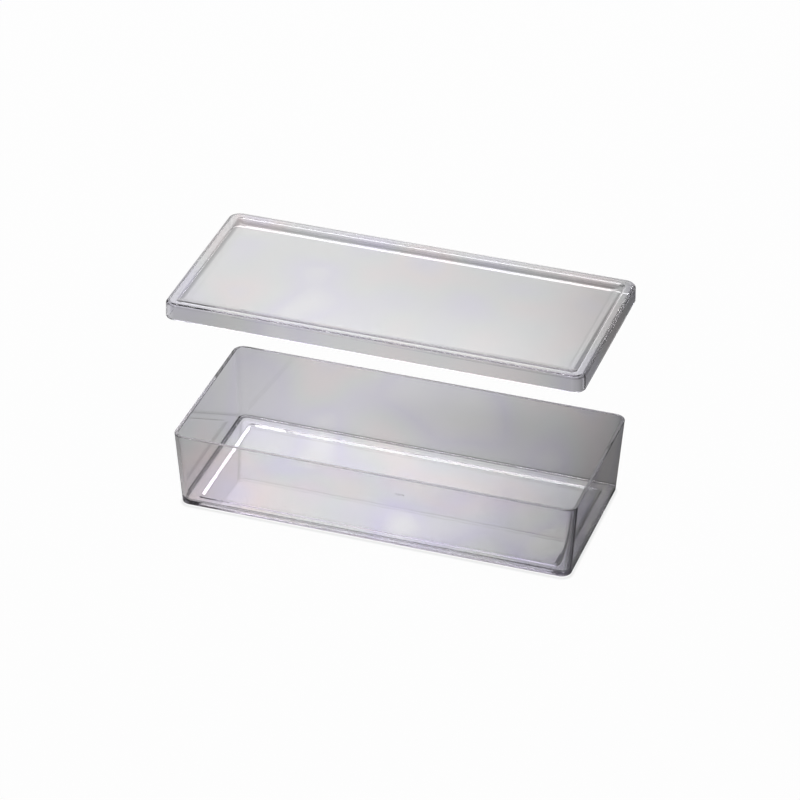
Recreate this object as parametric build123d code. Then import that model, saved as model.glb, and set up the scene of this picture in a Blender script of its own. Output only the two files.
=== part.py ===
from build123d import *
from math import atan2, radians, tan
import os

# Clear plastic storage box with a lift-off lid
# The box is two injection mouldings, a tray and a lid. Lengths are in millimetres and +Z is up.
# The origin is the middle of the foot's flat underside, with the long side along X.

# Tray
rim_length = 260.0          # outer length at the rim
rim_width = 116.0           # outer width at the rim
tray_height = 52.0          # table to the top of the rim
tray_draft = 3.8            # degrees that each wall leans out, so that it leaves the mould
tray_wall = 2.2             # thickness of the walls, measured level
tray_floor = 2.2            # thickness of the floor
rim_corner = 7.0            # outer corner radius at the rim
base_corner = 6.2           # outer corner radius at the walls' bottom edge
rim_chamfer = 0.4           # broken corners along both edges of the rim
base_round = 1.2            # rounding outside, where the walls meet the floor
floor_round = 2.6           # rounding inside, where the walls meet the floor

# Lowered foot under the floor
foot_height = 1.1           # height of the walls' bottom edge above the table
foot_inset = 7.4            # from the walls' bottom edge to the top of the foot's slope
foot_slope_run = 1.8        # level width of the foot's sloping side
foot_corner = 2.4           # corner radius of the foot, at the top of its slope
foot_round = 0.4            # rounding along the bottom of the foot's slope, inside and outside

# Gate mark, where the plastic entered the mould
gate_dish_radius = 3.0
gate_dish_depth = 0.5
gate_stub_radius = 0.9
gate_stub_height = 0.3

# Lid
lid_gap = 0.6               # level gap between the skirt and the tray's rim
lid_skirt = 2.1             # thickness of the skirt
lid_corner = 7.2            # outer corner radius of the skirt
lid_top = 2.0               # thickness of the rim and of the recessed panel
lid_height = 11.0           # bottom of the skirt to the top of the rim
lid_draft = 1.0             # degrees that the skirt leans out towards its bottom
lid_shoulder = 2.4          # rounding between the skirt and the rim
lid_inner_round = 0.5       # rounding inside the shoulder
lid_chamfer = 0.4           # broken corners of the skirt's bottom edge
lid_rim_width = 6.4         # from the outside of the lid to the recess
recess_depth = 1.8          # depth of the panel below the rim
recess_slope_run = 3.8      # level width of the slope from the rim to the panel
recess_corner = 1.3         # corner radius of the recess at its panel
recess_rim_corner = 3.2     # corner radius of the recess at the rim
recess_round = 1.2          # rounding at the top of that slope
recess_foot_round = 3.0     # rounding at the foot of that slope

# How far the lid is held above its closed place
lid_lift = 94.5

# Overrun of the cuts
overrun = 1.0


def outline(length, width, corner, height):
    """A level rectangle with round corners at a height."""
    return Plane.XY.offset(height) * RectangleRounded(length, width, corner)


def inset_outline(length, width, corner, inset, height):
    """The same outline moved in by an inset, with its corners kept."""
    return outline(length - inset * 2, width - inset * 2, corner, height)


def bottom_edges(shape):
    """The edges of a shape's lowest face."""
    return shape.faces().sort_by(Axis.Z)[0].edges()


def top_edges(shape):
    """The edges of a shape's highest face."""
    return shape.faces().sort_by(Axis.Z)[-1].edges()


def tray_inset(height):
    """How far the outside of a wall stands in from the rim's outside at a height."""
    return (tray_height - height) * tan(radians(tray_draft))


def tray_corner(height):
    """The outer corner radius at a height: it changes evenly from the base to the rim."""
    share = (height - foot_height) / (tray_height - foot_height)
    return base_corner + (rim_corner - base_corner) * share


def tray_section(height, inward):
    """The walls' outline at a height, moved in from the outside."""
    corner = tray_corner(height) - inward
    return inset_outline(rim_length, rim_width, corner, tray_inset(height) + inward, height)


def foot_section(height, inward, run, corner):
    """The foot's outline at a height, where its slope has run in by so much."""
    inset = tray_inset(foot_height) + foot_inset + inward + run
    return inset_outline(rim_length, rim_width, corner, inset, height)


def make_gate_mark():
    """The shallow dish under the floor, and the stub of the cut-off gate inside it."""
    dish = Cylinder(gate_dish_radius, gate_dish_depth + overrun, align=(Align.CENTER, Align.CENTER, Align.MAX))
    dish = Pos(0, 0, gate_dish_depth) * dish
    stub = Cylinder(gate_stub_radius, gate_stub_height, align=(Align.CENTER, Align.CENTER, Align.MAX))
    return dish, Pos(0, 0, gate_dish_depth) * stub


def make_tray():
    """The open box: a tapered shell on a lowered foot, as one moulding."""
    floor_top = foot_height + tray_floor
    rim_start = tray_height - rim_chamfer
    shell = loft(
        [
            tray_section(foot_height, 0),
            tray_section(rim_start, 0),
            tray_section(tray_height, rim_chamfer),
        ],
        ruled=True,
    )
    shell = fillet(bottom_edges(shell), base_round)
    cavity = loft(
        [
            tray_section(floor_top, tray_wall),
            tray_section(rim_start, tray_wall),
            tray_section(tray_height + overrun, tray_wall - rim_chamfer - overrun),
        ],
        ruled=True,
    )
    cavity = fillet(bottom_edges(cavity), floor_round)
    foot = loft(
        [
            foot_section(0, 0, foot_slope_run, foot_corner - foot_slope_run),
            foot_section(foot_height, 0, 0, foot_corner),
        ],
        ruled=True,
    )
    foot = fillet(bottom_edges(foot), foot_round)
    inward = tray_floor * tan(atan2(foot_slope_run, foot_height) / 2)
    well = loft(
        [
            foot_section(tray_floor, inward, foot_slope_run, foot_corner - foot_slope_run),
            foot_section(floor_top, inward, 0, foot_corner),
        ],
        ruled=True,
    )
    well = fillet(bottom_edges(well), foot_round)
    tray = shell - cavity
    dish, stub = make_gate_mark()
    return tray + foot - well - dish + stub


def lid_section(height, inward, top):
    """The skirt's outline at a height, moved in from the outside. It is widest at its bottom."""
    outside = lid_gap + lid_skirt
    lean = (height - top + lid_height) * tan(radians(lid_draft))
    return inset_outline(rim_length, rim_width, lid_corner - inward, inward + lean - outside, height)


def recess_section(height, inset, corner):
    """The recess's outline at a height, moved in from the outside of the lid's bottom."""
    return inset_outline(rim_length, rim_width, corner, inset - lid_gap - lid_skirt, height)


def make_recess(top, outward):
    """A shallow dish shape with sloping sides: the recess itself, or the panel that hangs under it."""
    inset = lid_rim_width - outward
    dish = loft(
        [
            recess_section(top - recess_depth, inset + recess_slope_run, recess_corner),
            recess_section(top, inset, recess_rim_corner),
        ],
        ruled=True,
    )
    return fillet(bottom_edges(dish), recess_foot_round)


def make_lid():
    """The cover: a skirt, a raised rim and a recessed panel, as one moulding of even thickness."""
    top = tray_height + lid_top + lid_lift
    bottom = top - lid_height
    skirt_start = bottom + lid_chamfer
    body = loft(
        [
            lid_section(bottom, lid_chamfer, top),
            lid_section(skirt_start, 0, top),
            lid_section(top, 0, top),
        ],
        ruled=True,
    )
    body = fillet(top_edges(body), lid_shoulder)
    under = loft(
        [
            lid_section(bottom - overrun, lid_skirt - lid_chamfer - overrun, top),
            lid_section(skirt_start, lid_skirt, top),
            lid_section(top - lid_top, lid_skirt, top),
        ],
        ruled=True,
    )
    under = fillet(top_edges(under), lid_inner_round)
    recess = make_recess(top, 0)
    panel = make_recess(top - lid_top, lid_top * tan(atan2(recess_depth, recess_slope_run) / 2))
    lid = body - (under - panel) - recess
    rim_inner_edges = lid.faces().sort_by(Axis.Z)[-1].inner_wires()[0].edges()
    lid = fillet(rim_inner_edges, recess_round)
    return lid


os.makedirs("parts", exist_ok=True)
parts = {"tray": make_tray(), "lid": make_lid()}
for name, part in parts.items():
    export_step(part, f"parts/{name}.step")
    print(name, "solids", len(part.solids()), "volume", round(part.volume), "mm3")
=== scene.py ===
# %% [markdown]
# This scene dresses a clear plastic storage box: a tray and a lid that is held above it.
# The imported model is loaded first. Everything else takes its place and size from it.

# %% Load the frame
import math

import bpy
import numpy as np
from mathutils import Matrix, Vector


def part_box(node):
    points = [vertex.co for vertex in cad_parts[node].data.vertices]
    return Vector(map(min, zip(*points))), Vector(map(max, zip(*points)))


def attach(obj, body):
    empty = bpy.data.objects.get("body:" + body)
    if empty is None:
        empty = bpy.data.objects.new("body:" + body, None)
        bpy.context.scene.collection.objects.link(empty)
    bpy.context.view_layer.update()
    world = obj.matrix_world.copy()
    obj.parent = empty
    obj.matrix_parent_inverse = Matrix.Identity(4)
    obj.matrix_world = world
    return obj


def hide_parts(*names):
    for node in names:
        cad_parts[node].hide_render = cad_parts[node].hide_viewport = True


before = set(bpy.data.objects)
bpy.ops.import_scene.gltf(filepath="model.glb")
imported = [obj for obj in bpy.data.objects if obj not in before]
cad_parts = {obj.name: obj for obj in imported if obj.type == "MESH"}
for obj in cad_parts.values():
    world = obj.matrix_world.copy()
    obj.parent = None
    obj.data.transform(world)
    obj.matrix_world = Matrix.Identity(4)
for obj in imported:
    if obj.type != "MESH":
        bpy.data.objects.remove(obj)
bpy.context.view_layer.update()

MM = 0.001
tray_low, tray_high = (np.array(corner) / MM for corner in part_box("tray"))
lid_low, lid_high = (np.array(corner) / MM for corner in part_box("lid"))
print("tray", tray_high - tray_low, "mm; lid", lid_high - lid_low, "mm")


# %% [markdown]
# Two helpers serve every material. One turns a hex colour, as a designer writes it, into the
# linear values that the renderer works with. The other adds one node with its settings and links.

# %% Colour and node helpers
def linear(hex_colour):
    """An sRGB hex colour as linear red, green, blue and alpha, by the sRGB standard's formula."""
    values = [int(hex_colour[i:i + 2], 16) / 255 for i in (1, 3, 5)]
    dark, light = (lambda v: v / 12.92), (lambda v: ((v + 0.055) / 1.055) ** 2.4)
    return tuple(dark(v) if v <= 0.04045 else light(v) for v in values) + (1.0,)


def add_node(tree, kind, settings=None, **inputs):
    """Adds a node with its settings, which are properties, and its inputs.

    An input is a value, or the socket that feeds it. It is named by its label, with _ for a
    space, or by _ and its number.
    """
    node = tree.nodes.new(kind)
    for name, value in (settings or {}).items():
        setattr(node, name, value)
    for name, value in inputs.items():
        key = int(name[1:]) if name[0] == "_" else name.replace("_", " ")
        socket = node.inputs[key]
        if isinstance(value, bpy.types.NodeSocket):
            tree.links.new(value, socket)
        else:
            socket.default_value = value
    return node


def new_material(name):
    """An empty material with its output node."""
    material = bpy.data.materials.new(name)
    material.use_nodes = True
    tree = material.node_tree
    tree.nodes.clear()
    return material, tree, tree.nodes.new("ShaderNodeOutputMaterial")


# %% [markdown]
# The camera stands where the photographer's did. It could be placed by eye, but clear plastic
# shows bent and mirrored pictures of what is near it, so a small error shows in every line. Its
# place was worked out from the straight edges of the tray instead.

# %% Camera
AZIMUTH, ELEVATION, ROLL = 18.205, 31.922, 0.593  # degrees
CAMERA_PLACE = (0.66978498, -2.03795800, 1.40721849)  # metres
PIXELS_PER_RADIAN = 4086.9
FRAME_PIXELS = 800
SENSOR = 36.0


def place_camera():
    """Looks along +Y turned by the azimuth and tipped down by the elevation, then rolled."""
    a, e, r = (math.radians(v) for v in (AZIMUTH, ELEVATION, ROLL))
    forward = Vector((-math.sin(a) * math.cos(e), math.cos(a) * math.cos(e), -math.sin(e)))
    level = Vector((math.cos(a), math.sin(a), 0))
    upright = level.cross(forward)
    right = level * math.cos(r) + upright * math.sin(r)
    up = right.cross(forward)
    turn = Matrix((right, up, -forward)).transposed().to_4x4()
    camera = bpy.data.objects.new("camera", bpy.data.cameras.new("camera"))
    camera.data.sensor_width = SENSOR
    camera.data.lens = PIXELS_PER_RADIAN / FRAME_PIXELS * SENSOR
    camera.matrix_world = Matrix.Translation(CAMERA_PLACE) @ turn
    bpy.context.scene.collection.objects.link(camera)
    bpy.context.scene.camera = camera
    print("camera lens", round(camera.data.lens, 1), "mm")


place_camera()


# %% [markdown]
# Both pieces are mouldings with an even wall, round corners and softly rounded edges. They could
# be made from a block with bevels, but a clear wall shows every uneven face behind it. So each is
# a section line carried round a plan. A point of the line knows how far it stands in from the
# rim's outside, its height, and the corner radius that the plan has there. The line's own corners
# are rounded first. Then each of its points becomes one loop round the box, and faces join each
# loop to the next.

# %% Surfaces
CUBIC_MM_PER_CM = 1000


def add_mesh(name, points, faces, material):
    """A smooth-shaded mesh object from points in millimetres."""
    mesh = bpy.data.meshes.new(name)
    mesh.from_pydata((np.asarray(points) * MM).tolist(), [], faces)
    mesh.shade_smooth()
    mesh.materials.append(material)
    piece = bpy.data.objects.new(name, mesh)
    bpy.context.scene.collection.objects.link(piece)
    print(name, len(faces), "faces")
    return piece


def print_volume(piece):
    """A sixth of the sum of first . (second x third), over the three corners of each triangle."""
    mesh = piece.data
    mesh.calc_loop_triangles()
    corners = np.empty(len(mesh.loop_triangles) * 3, np.int32)
    mesh.loop_triangles.foreach_get("vertices", corners)
    points = np.empty(len(mesh.vertices) * 3, np.float32)
    mesh.vertices.foreach_get("co", points)
    triangles = (points.reshape(-1, 3) / MM)[corners].reshape(-1, 3, 3)
    first, second, third = triangles.transpose(1, 0, 2)
    volume = np.einsum("ij,ij->i", first, np.cross(second, third)).sum() / 6
    print(piece.name, round(volume / CUBIC_MM_PER_CM, 1), "cubic centimetres of plastic")


ARC_STEPS = 8
STRAIGHT = math.radians(89.5)  # half of a corner's angle from which on it counts as straight


def rounded_path(stations, roundings, steps=ARC_STEPS):
    """Carries a polyline round its corners in arcs. A station is inset, height and corner radius.

    Each corner's arc touches both of its runs, in the plane of inset and height. The corner radius
    changes along the arc as a parabola that starts and ends on the straight runs' values.
    """
    stations = np.asarray(stations, float)
    share = np.linspace(0, 1, steps + 1)
    rest = 1 - share
    path = [stations[:1]]
    for before, here, after, radius in zip(stations, stations[1:], stations[2:], roundings):
        to_before, to_after = before - here, after - here
        length_before, length_after = (np.hypot(*v[:2]) for v in (to_before, to_after))
        cosine = to_before[:2] @ to_after[:2] / (length_before * length_after)
        half = math.acos(np.clip(cosine, -1, 1)) / 2
        if radius == 0 or half > STRAIGHT:
            path.append(here[None])
            continue
        reach = radius / math.tan(half)
        first = here + to_before * reach / length_before
        last = here + to_after * reach / length_after
        bisector = (to_before[:2] / length_before + to_after[:2] / length_after)
        centre = here[:2] + bisector / np.hypot(*bisector) * radius / math.sin(half)
        start, end = (math.atan2(*(p[:2] - centre)[::-1]) for p in (first, last))
        turn = (end - start + math.pi) % (2 * math.pi) - math.pi
        angle = start + turn * share
        place = centre + radius * np.stack([np.cos(angle), np.sin(angle)], 1)
        corner = first[2] * rest ** 2 + 2 * here[2] * share * rest + last[2] * share ** 2
        path.append(np.column_stack([place, corner]))
    path.append(stations[-1:])
    return np.concatenate(path)


CORNER_STEPS = 20


def rounded_loops(path, length, width):
    """One round-cornered rectangle for each row of the path: an array of rows, points and x, y, z.

    In a corner, x = side (length / 2 - inset - corner) + corner cos(angle), and y likewise with
    the width and the sine.
    """
    inset, height, corner = path.T
    corner = np.maximum(corner, 0)
    angles = np.linspace(0, math.pi / 2, CORNER_STEPS + 1)
    quarter = np.concatenate([angles + k * math.pi / 2 for k in range(4)])
    side_x = np.repeat([1, -1, -1, 1], CORNER_STEPS + 1)
    side_y = np.repeat([1, 1, -1, -1], CORNER_STEPS + 1)
    x = side_x * (length / 2 - inset - corner)[:, None] + corner[:, None] * np.cos(quarter)
    y = side_y * (width / 2 - inset - corner)[:, None] + corner[:, None] * np.sin(quarter)
    z = np.broadcast_to(height[:, None], x.shape)
    return np.stack([x, y, z], 2)


def skin(loops):
    """Joins loops to a closed surface: quads between neighbours, and a flat face at each end."""
    rows, count, _ = loops.shape
    index = np.arange(rows * count).reshape(rows, count)
    here, right = index, np.roll(index, -1, axis=1)
    quads = np.stack([here[:-1], here[1:], right[1:], right[:-1]], 2).reshape(-1, 4)
    ends = [index[0].tolist(), index[-1][::-1].tolist()]
    return loops.reshape(-1, 3), quads.tolist() + ends


# %% [markdown]
# The box is made of clear moulded plastic: polished steel moulds leave it as smooth as glass. Its
# index of refraction is that of acrylic, 1.49. Seen through a wall it is all but colourless, and
# the faint smoke tint shows only where the eye looks along a wall for a long way. So the tint is
# an absorption inside the solid, which grows with the length of the way, and not a colour on the
# surface.
#
# Plastic that cools in a mould is strained, and that shows as wide pastel patches of blue, pink
# and yellow, a few centimetres across. They are a very light base colour. The cooled walls are
# never quite flat either, so a bump a few thousandths of a millimetre high bends the mirror
# images very slightly.
#
# A shadow ray passes straight through every face and loses a little at each. That gives the table
# an even, soft shadow with few samples.

# %% Clear plastic
PLASTIC_IOR = 1.49
PLASTIC_ROUGHNESS = 0.0  # as polished as the mould
SMOKE = "#CAC6CE"
SMOKE_PER_METRE = 20.0
SHADOW = "#F4F4F6"  # what one face lets through to the table
STRAIN_PATCH_MM = 75.0
STRAIN_TINTS = ["#F5F2FB", "#FBF5F5", "#F5F6F6", "#F3F1FB", "#FFFFFF"]
STRAIN_RANGE = (0.28, 0.72)  # the part of the noise's range over which the tints are spread
STRAIN_DISTORTION = 0.2
WAVE_MM = 40.0
WAVE_HEIGHT_MM = 0.003


def clear_plastic():
    """Polished clear acrylic with a smoke tint, strain colours and a very slight waviness."""
    material, tree, output = new_material("acrylic_moulded_clear")
    place = add_node(tree, "ShaderNodeTexCoord").outputs["Object"]
    strain = add_node(
        tree, "ShaderNodeTexNoise", Vector=place, Scale=1 / (STRAIN_PATCH_MM * MM), Detail=1.0,
        Distortion=STRAIN_DISTORTION,
    )
    tints = add_node(tree, "ShaderNodeValToRGB", Fac=strain.outputs["Fac"])
    stops = tints.color_ramp.elements
    while len(stops) < len(STRAIN_TINTS):
        stops.new(sum(STRAIN_RANGE) / 2)
    positions = np.linspace(*STRAIN_RANGE, len(STRAIN_TINTS))
    for stop, position, tint in zip(stops, positions, STRAIN_TINTS):
        stop.position, stop.color = position, linear(tint)
    wave = add_node(
        tree, "ShaderNodeTexNoise", Vector=place, Scale=1 / (WAVE_MM * MM), Detail=0.0,
    )
    bump = add_node(
        tree, "ShaderNodeBump", Height=wave.outputs["Fac"], Distance=WAVE_HEIGHT_MM * MM,
        Strength=1.0,
    )
    shell = add_node(
        tree, "ShaderNodeBsdfPrincipled", Base_Color=tints.outputs["Color"],
        Roughness=PLASTIC_ROUGHNESS, IOR=PLASTIC_IOR, Transmission_Weight=1.0,
        Normal=bump.outputs["Normal"],
    )
    ray = add_node(tree, "ShaderNodeLightPath")
    through = add_node(tree, "ShaderNodeBsdfTransparent", Color=linear(SHADOW))
    surface = add_node(
        tree, "ShaderNodeMixShader", _0=ray.outputs["Is Shadow Ray"], _1=shell.outputs[0],
        _2=through.outputs[0],
    )
    smoke = add_node(
        tree, "ShaderNodeVolumeAbsorption", Color=linear(SMOKE), Density=SMOKE_PER_METRE,
    )
    tree.links.new(surface.outputs[0], output.inputs["Surface"])
    tree.links.new(smoke.outputs[0], output.inputs["Volume"])
    print("clear plastic:", len(tree.nodes), "nodes")
    return material


plastic = clear_plastic()


# %% [markdown]
# The tray is one moulding. A section through its wall is a closed line: over the floor, down into
# the lowered foot, up the inside of the wall, over the rim, and down the outside to the foot's
# underside. The walls lean out, because the tray had to leave its mould, and the line is written
# in the sizes of the real wall, so that the plastic has its true thickness everywhere. That
# matters here, because light is bent at both faces.

# %% Tray section
RIM_LENGTH, RIM_WIDTH = 260.0, 116.0
TRAY_HEIGHT = tray_high[2]
DRAFT = math.tan(math.radians(3.8))
WALL, FLOOR = 2.2, 2.2
RIM_CORNER, BASE_CORNER = 7.0, 6.2
FOOT_HEIGHT, FOOT_INSET, FOOT_RUN = 1.1, 9.0, 2.0
FOOT_TOP_CORNER, FOOT_CORNER = 2.4, 0.6
TRAY_ROUNDS = [1.2, 0.3, 2.6, 0.35, 0.35, 0.7, 0.3, 0.4]  # one for each corner of the section
MIDDLE = 20.0  # how far a flat runs on towards the middle before its one closing face
MIDDLE_CORNER = 1.0


def wall_station(height, inward):
    """Inset = (rim height - height) x draft + inward. The corner changes from base to rim."""
    share = (height - FOOT_HEIGHT) / (TRAY_HEIGHT - FOOT_HEIGHT)
    corner = BASE_CORNER + (RIM_CORNER - BASE_CORNER) * share
    return [(TRAY_HEIGHT - height) * DRAFT + inward, height, corner - inward]


def tray_path():
    """The closed section, from the middle of the floor over the rim to that of the underside."""
    slope = wall_station(FOOT_HEIGHT, 0)[0] + FOOT_INSET
    floor_top = FOOT_HEIGHT + FLOOR
    shift = FLOOR * math.tan(math.atan2(FOOT_RUN, FOOT_HEIGHT) / 2)
    stations = [
        [slope + FOOT_RUN + shift + MIDDLE, FLOOR, MIDDLE_CORNER],
        [slope + FOOT_RUN + shift, FLOOR, FOOT_CORNER],
        [slope + shift, floor_top, FOOT_TOP_CORNER],
        wall_station(floor_top, WALL),
        wall_station(TRAY_HEIGHT, WALL),
        wall_station(TRAY_HEIGHT, 0),
        wall_station(FOOT_HEIGHT, 0),
        [slope, FOOT_HEIGHT, FOOT_TOP_CORNER],
        [slope + FOOT_RUN, 0, FOOT_CORNER],
        [slope + FOOT_RUN + MIDDLE, 0, MIDDLE_CORNER],
    ]
    return rounded_path(stations, TRAY_ROUNDS)


tray_loops = rounded_loops(tray_path(), RIM_LENGTH, RIM_WIDTH)
print("tray section:", len(tray_loops), "points, carried round", tray_loops.shape[1], "places")


# %% [markdown]
# Under the middle of the floor is the gate mark, where the plastic entered the mould: a shallow
# dish with the stub of the cut-off gate in it. It is a small profile turned round the upright
# axis. It could be cut in with a boolean, but its loops have as many points as the tray's, so the
# two join without a seam.

# %% Gate mark
GATE_PROFILE = [[3.4, 0], [3.0, 0], [2.8, 0.5], [0.95, 0.5], [0.85, 0.2], [0.3, 0.2]]
GATE_ROUNDS = [0.1, 0.25, 0.15, 0.1]
GATE_STEPS = 4


def turned_loops(path):
    """x = radius cos(angle), y = radius sin(angle), at each height and at the tray's angles."""
    radius, height = path[:, :1], path[:, 1:2]
    angle = np.arctan2(tray_loops[-1, :, 1], tray_loops[-1, :, 0])
    x, y = radius * np.cos(angle), radius * np.sin(angle)
    return np.stack([x, y, np.broadcast_to(height, x.shape)], 2)


gate_stations = [[radius, height, 0] for radius, height in GATE_PROFILE]
gate_loops = turned_loops(rounded_path(gate_stations, GATE_ROUNDS, GATE_STEPS))
tray = add_mesh("tray_moulding", *skin(np.concatenate([tray_loops, gate_loops])), plastic)
print_volume(tray)


# %% [markdown]
# The lid is made the same way, from its own section: the sunk panel, the slope up to the raised
# rim, the round shoulder, down the skirt, and back along the underside at an even thickness. A
# thin sheet with a Solidify modifier would come close, but the shoulder is wide and round outside
# and nearly sharp inside, so the two sides need radii of their own.

# %% Lid
LID_TOP = lid_high[2]
LID_HEIGHT = lid_high[2] - lid_low[2]
LID_GAP, LID_SKIRT, LID_THICK = 0.6, 2.1, 2.0
LID_LEAN = math.tan(math.radians(1.0))
LID_CORNER = 7.2
LID_RIM, RECESS_DEPTH, RECESS_RUN = 6.4, 1.8, 3.8
RECESS_RIM_CORNER, RECESS_CORNER = 3.2, 1.3
LID_ROUNDS = [15.0, 1.2, 2.4, 0.3, 0.3, 0.5, 3.2, 13.0]  # one for each corner of the section


def skirt_station(height, inward):
    """Inset = inward + (height over the skirt's bottom) x lean - gap - skirt."""
    outside = LID_GAP + LID_SKIRT
    lean = (height - LID_TOP + LID_HEIGHT) * LID_LEAN
    return [inward + lean - outside, height, LID_CORNER - inward]


def lid_path():
    """The closed section, from the middle of the panel over the rim to that of its underside."""
    bottom = LID_TOP - LID_HEIGHT
    shift = LID_THICK * math.tan(math.atan2(RECESS_DEPTH, RECESS_RUN) / 2)
    band = LID_RIM - LID_GAP - LID_SKIRT
    panel = LID_TOP - RECESS_DEPTH
    stations = [
        [band + RECESS_RUN + MIDDLE, panel, MIDDLE_CORNER],
        [band + RECESS_RUN, panel, RECESS_CORNER],
        [band, LID_TOP, RECESS_RIM_CORNER],
        skirt_station(LID_TOP, 0),
        skirt_station(bottom, 0),
        skirt_station(bottom, LID_SKIRT),
        skirt_station(LID_TOP - LID_THICK, LID_SKIRT),
        [band - shift, LID_TOP - LID_THICK, RECESS_RIM_CORNER],
        [band + RECESS_RUN - shift, panel - LID_THICK, RECESS_CORNER],
        [band + RECESS_RUN - shift + MIDDLE, panel - LID_THICK, MIDDLE_CORNER],
    ]
    return rounded_path(stations, LID_ROUNDS)


lid_loops = rounded_loops(lid_path(), RIM_LENGTH, RIM_WIDTH)
lid = add_mesh("lid_moulding", *skin(lid_loops), plastic)
print_volume(lid)


# %% [markdown]
# The box stands on a wide white table. To the camera the table is plain white but for the box's
# own soft shadow and a faint painted shadow line where the walls' bottom edge comes down to it.
# What the plastic mirrors and bends towards the camera is the same table, but it is less bright
# there, and darker still in six soft-edged zones of painted shade. They stand in for the room's
# light falling off away from the lamps. Clear things are only seen by such differences: they give
# the walls their greys. Under the bottom edge, where little light gets in, a painted shadow makes
# what the plastic shows of the table dark.
#
# A second, darker table that the camera doesn't see would do the same. One table whose brightness
# asks for the kind of ray is simpler, and the shadow falls on it in one place.

# %% Table
TABLE_SIZE = 12.0
TABLE_DROP_MM = 0.05
TABLE = "#F2F2F4"
TO_CAMERA, TO_PLASTIC = 0.97, 0.6  # shares of plain white in what a ray sees
TABLE_LEVEL = 0.79
# Zones of painted shade on the table, which the plastic mirrors and shows through.
PAINTED_SHADE_ZONES = [  # middle of a zone and its reach in x and y, in metres, and how much darker it is
    ((0.18, 0.06), (0.2, 0.7), 0.9),
    ((0.27, 0.29), (0.7, 0.18), 0.6),
    ((-0.21, -0.2), (0.14, 0.6), 0.71),
    ((0.015, 0.1), (0.09, 0.07), 0.25),
    ((0.125, -0.03), (0.07, 0.08), 0.35),
    ((-0.1, 0.8), (1.6, 0.42), 0.6),
]
# The painted contact shadow along the walls' bottom edge: its width, and its depth to the plastic
# and to the camera.
CONTACT_SHADOW_MM = 2.2
CONTACT_SHADOW_TO_PLASTIC, CONTACT_SHADOW_TO_CAMERA = 1.0, 0.16


def painted_shade_level(tree):
    """Painted shade: TABLE_LEVEL times, for each zone, 1 - depth x a smooth hill: 1 in its middle,
    0 outside.
    """
    place = add_node(tree, "ShaderNodeTexCoord").outputs["Object"]
    level = TABLE_LEVEL
    for centre, reach, depth in PAINTED_SHADE_ZONES:
        centred = add_node(
            tree, "ShaderNodeMapping", {"vector_type": "TEXTURE"}, Vector=place,
            Location=(*centre, 0), Scale=(*reach, 1),
        )
        hill = add_node(
            tree, "ShaderNodeTexGradient", {"gradient_type": "SPHERICAL"},
            Vector=centred.outputs[0],
        )
        zone = add_node(
            tree, "ShaderNodeMapRange", {"interpolation_type": "SMOOTHSTEP"},
            Value=hill.outputs["Fac"], From_Min=0.0, From_Max=1.0, To_Min=1.0, To_Max=1 - depth,
        )
        level = add_node(
            tree, "ShaderNodeMath", {"operation": "MULTIPLY"}, _0=level, _1=zone.outputs[0],
        ).outputs[0]
    return level


def painted_contact_shadow(tree, depth):
    """A painted contact shadow: 1 - depth x a smooth ridge along the outline of the walls' bottom
    edge.

    The distance from the outline is | length(max(|place| - half size, 0)) - corner radius |.
    """
    place = add_node(tree, "ShaderNodeTexCoord").outputs["Object"]
    inward = wall_station(FOOT_HEIGHT, 0)[0] + BASE_CORNER
    half_x, half_y = (size / 2 - inward for size in (RIM_LENGTH, RIM_WIDTH))
    out = add_node(tree, "ShaderNodeVectorMath", {"operation": "ABSOLUTE"}, _0=place)
    out = add_node(
        tree, "ShaderNodeVectorMath", {"operation": "SUBTRACT"}, _0=out.outputs[0],
        _1=(half_x * MM, half_y * MM, 0),
    )
    out = add_node(
        tree, "ShaderNodeVectorMath", {"operation": "MAXIMUM"}, _0=out.outputs[0], _1=(0, 0, 0),
    )
    out = add_node(tree, "ShaderNodeVectorMath", {"operation": "LENGTH"}, _0=out.outputs[0])
    off = add_node(
        tree, "ShaderNodeMath", {"operation": "SUBTRACT"}, _0=out.outputs["Value"],
        _1=BASE_CORNER * MM,
    )
    off = add_node(tree, "ShaderNodeMath", {"operation": "ABSOLUTE"}, _0=off.outputs[0])
    line = add_node(
        tree, "ShaderNodeMapRange", {"interpolation_type": "SMOOTHSTEP"}, Value=off.outputs[0],
        From_Min=0.0, From_Max=CONTACT_SHADOW_MM * MM, To_Min=1 - depth, To_Max=1.0,
    )
    return line.outputs[0]


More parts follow.
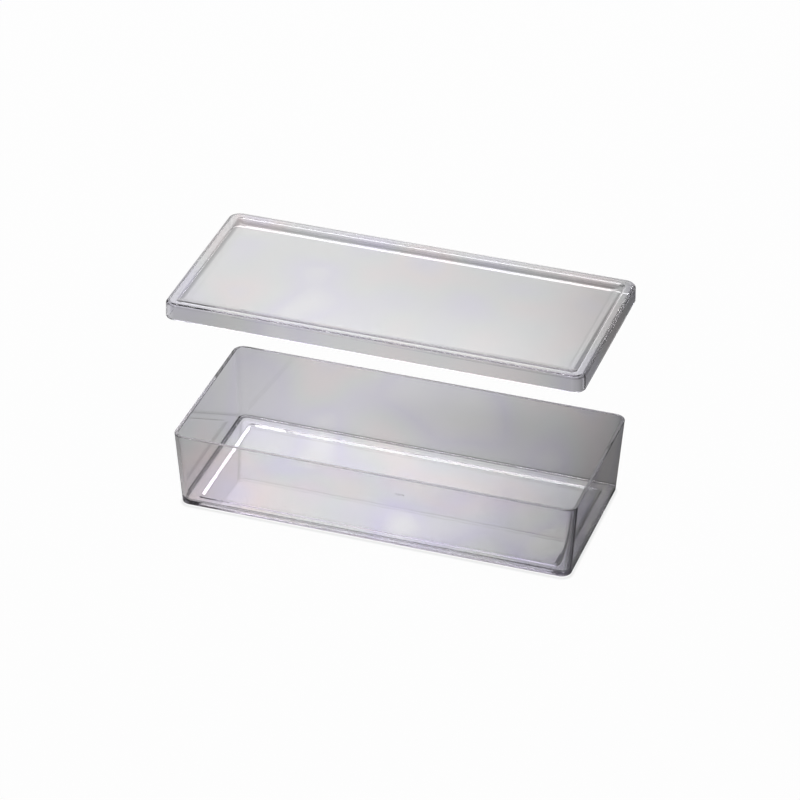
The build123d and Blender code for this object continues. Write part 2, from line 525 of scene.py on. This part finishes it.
def table_top():
    """A white sweep: plain white to the camera but for a faint painted contact shadow, and darkened
    with painted shade for what the plastic mirrors.
    """
    material, tree, output = new_material("studio_sweep")
    # The table's brightness with the painted shade zones and the painted contact shadow, for what
    # the plastic sees.
    level = add_node(
        tree, "ShaderNodeMath", {"operation": "MULTIPLY"}, _0=painted_shade_level(tree),
        _1=painted_contact_shadow(tree, CONTACT_SHADOW_TO_PLASTIC),
    ).outputs[0]
    ray = add_node(tree, "ShaderNodeLightPath")
    seen_directly = ray.outputs["Is Camera Ray"]
    to_plastic = add_node(
        tree, "ShaderNodeMath", {"operation": "MAXIMUM"}, _0=ray.outputs["Is Glossy Ray"],
        _1=ray.outputs["Is Transmission Ray"],
    )
    to_plastic = add_node(
        tree, "ShaderNodeMath", {"operation": "MULTIPLY"}, _0=to_plastic.outputs[0],
        _1=TO_PLASTIC,
    )
    to_camera = add_node(
        tree, "ShaderNodeMath", {"operation": "MULTIPLY"}, _0=seen_directly, _1=TO_CAMERA,
    )
    share = add_node(
        tree, "ShaderNodeMath", {"operation": "MAXIMUM"}, _0=to_plastic.outputs[0],
        _1=to_camera.outputs[0],
    )
    # To the camera, a fainter painted contact shadow.
    to_eye = add_node(
        tree, "ShaderNodeMath", {"operation": "MULTIPLY"}, _0=seen_directly,
        _1=painted_contact_shadow(tree, CONTACT_SHADOW_TO_CAMERA),
    )
    strength = add_node(
        tree, "ShaderNodeMath", {"operation": "MAXIMUM"}, _0=level, _1=to_eye.outputs[0],
    )
    # Both the table's colour and its glow carry the painted shade.
    colour = add_node(
        tree, "ShaderNodeVectorMath", {"operation": "SCALE"}, _0=linear(TABLE)[:3],
        Scale=strength.outputs[0],
    )
    matt = add_node(tree, "ShaderNodeBsdfDiffuse", Color=colour.outputs[0])
    glow = add_node(
        tree, "ShaderNodeEmission", Color=(1, 1, 1, 1), Strength=strength.outputs[0],
    )
    mix = add_node(
        tree, "ShaderNodeMixShader", _0=share.outputs[0], _1=matt.outputs[0], _2=glow.outputs[0],
    )
    tree.links.new(mix.outputs[0], output.inputs["Surface"])
    half, z = TABLE_SIZE / 2 / MM, -TABLE_DROP_MM
    corners = [[-half, -half, z], [half, -half, z], [half, half, z], [-half, half, z]]
    add_mesh("studio_table", corners, [[0, 1, 2, 3]], material)


table_top()


# %% [markdown]
# The room is white to the camera and dim to everything else, so that the softboxes do the
# lighting, and what they light and mirror stands out from what they don't.

# %% Room
ROOM_LEVEL = 0.26


def room():
    """White to camera rays, ROOM_LEVEL to all others."""
    world = bpy.data.worlds.new("studio")
    bpy.context.scene.world = world
    world.use_nodes = True
    tree = world.node_tree
    tree.nodes.clear()
    output = tree.nodes.new("ShaderNodeOutputWorld")
    ray = add_node(tree, "ShaderNodeLightPath")
    dim = add_node(tree, "ShaderNodeBackground", Color=(1, 1, 1, 1), Strength=ROOM_LEVEL)
    white = add_node(tree, "ShaderNodeBackground", Color=(1, 1, 1, 1), Strength=1.0)
    mix = add_node(
        tree, "ShaderNodeMixShader", _0=ray.outputs["Is Camera Ray"], _1=dim.outputs[0],
        _2=white.outputs[0],
    )
    tree.links.new(mix.outputs[0], output.inputs["Surface"])
    print("room level", ROOM_LEVEL)


room()


# %% [markdown]
# A softbox is a lamp behind a white cloth: bright in its middle and fading towards its edges. On
# clear plastic a lamp matters less for the light that it gives than for where it is mirrored. The
# lid's panel and the tray's floor mirror the one behind the box. The slope at the lid's back
# mirrors the one above, and the slope at its right end the low one. The one in front lays a faint
# veil of light on the tray's back wall and lights its rim. Two narrow ones draw the white lines
# along the slopes of the foot: the one above draws the back line, and the one at the side the left.

# %% Softboxes
LAMPS = [  # name, place in m, direction of its second size, both sizes in m, watts, faded edge
    ("softbox_back", (-0.42, 1.2, 0.92), (0, 0, 1), (0.8, 0.8), 3.8, 0.3),
    ("softbox_low", (-0.35, 1.2, 0.43), (0, 0, 1), (0.5, 0.4), 0.8, 0.1),
    ("softbox_top", (-0.2, 0.35, 1.5), (0, 1, 0), (1.2, 0.5), 4.5, 0.1),
    ("softbox_front", (-0.45, -1.3, 0.7), (0, 0, 1), (1.2, 0.6), 2.0, 0.1),
    ("striplight_top", (-0.4, 0.0, 1.5), (1, 0, 0), (0.09, 0.54), 2.4, 0.1),
    ("striplight_side", (0.33, 1.2, 0.843), (0.05, 0, 0.095), (0.05, 0.16), 0.4, 0.1),
]


def faded_edges(tree, edge):
    """Product over both directions of smoothstep(distance to the nearer edge / edge width).

    Parametric runs from 0 to 1 across the lamp, and PINGPONG folds it back at its middle, 0.5.
    """
    spot = add_node(tree, "ShaderNodeNewGeometry").outputs["Parametric"]
    spot = add_node(tree, "ShaderNodeSeparateXYZ", _0=spot)
    level = 1.0
    for axis in (0, 1):
        away = add_node(
            tree, "ShaderNodeMath", {"operation": "PINGPONG"}, _0=spot.outputs[axis], _1=0.5,
        )
        fade = add_node(
            tree, "ShaderNodeMapRange", {"interpolation_type": "SMOOTHSTEP"},
            Value=away.outputs[0], From_Min=0.0, From_Max=edge, To_Min=0.0, To_Max=1.0,
        )
        level = add_node(
            tree, "ShaderNodeMath", {"operation": "MULTIPLY"}, _0=level, _1=fade.outputs[0],
        ).outputs[0]
    return level


def soft_lamp(name, place, along, size, watts, edge):
    """A softbox that faces the box. Its second size runs along a direction, its edges fade."""
    lamp = bpy.data.lights.new(name, "AREA")
    lamp.shape = "RECTANGLE"
    lamp.size, lamp.size_y = size
    lamp.energy = watts
    lamp.use_nodes = True
    tree = lamp.node_tree
    tree.nodes.clear()
    output = tree.nodes.new("ShaderNodeOutputLight")
    glow = add_node(
        tree, "ShaderNodeEmission", Color=(1, 1, 1, 1), Strength=faded_edges(tree, edge),
    )
    tree.links.new(glow.outputs[0], output.inputs["Surface"])
    holder = bpy.data.objects.new(name, lamp)
    away = Vector(place).normalized()
    across = Vector(along).cross(away).normalized()
    turn = Matrix((across, away.cross(across), away)).transposed().to_4x4()
    holder.matrix_world = Matrix.Translation(place) @ turn
    holder.visible_camera = False
    bpy.context.scene.collection.objects.link(holder)
    print(name, watts, "W")


for lamp in LAMPS:
    soft_lamp(*lamp)


# %% [markdown]
# Light that has entered a clear wall is mirrored to and fro between its faces many times before
# it comes out at a rim or a corner. With few bounces allowed it would be lost there, and the rims
# would turn black, so the number is raised.

# %% Bounces
BOUNCES = 40
cycles = bpy.context.scene.cycles
cycles.max_bounces = cycles.transmission_bounces = cycles.glossy_bounces = BOUNCES
print("bounces:", cycles.max_bounces)


# %% [markdown]
# Last, each moulding rides on its body and takes its solid's place. Weighted normals keep the
# flat walls flat and put the shading of each edge into its rounding.

# %% Hand over
FACE_WEIGHT = 100  # the largest: the big flat faces decide the normals along their edges

bpy.context.scene.view_settings.view_transform = "Standard"
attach(tray, "tray")
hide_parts("tray")
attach(lid, "lid")
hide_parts("lid")
for piece in (tray, lid):
    piece.modifiers.new("weighted", "WEIGHTED_NORMAL").weight = FACE_WEIGHT
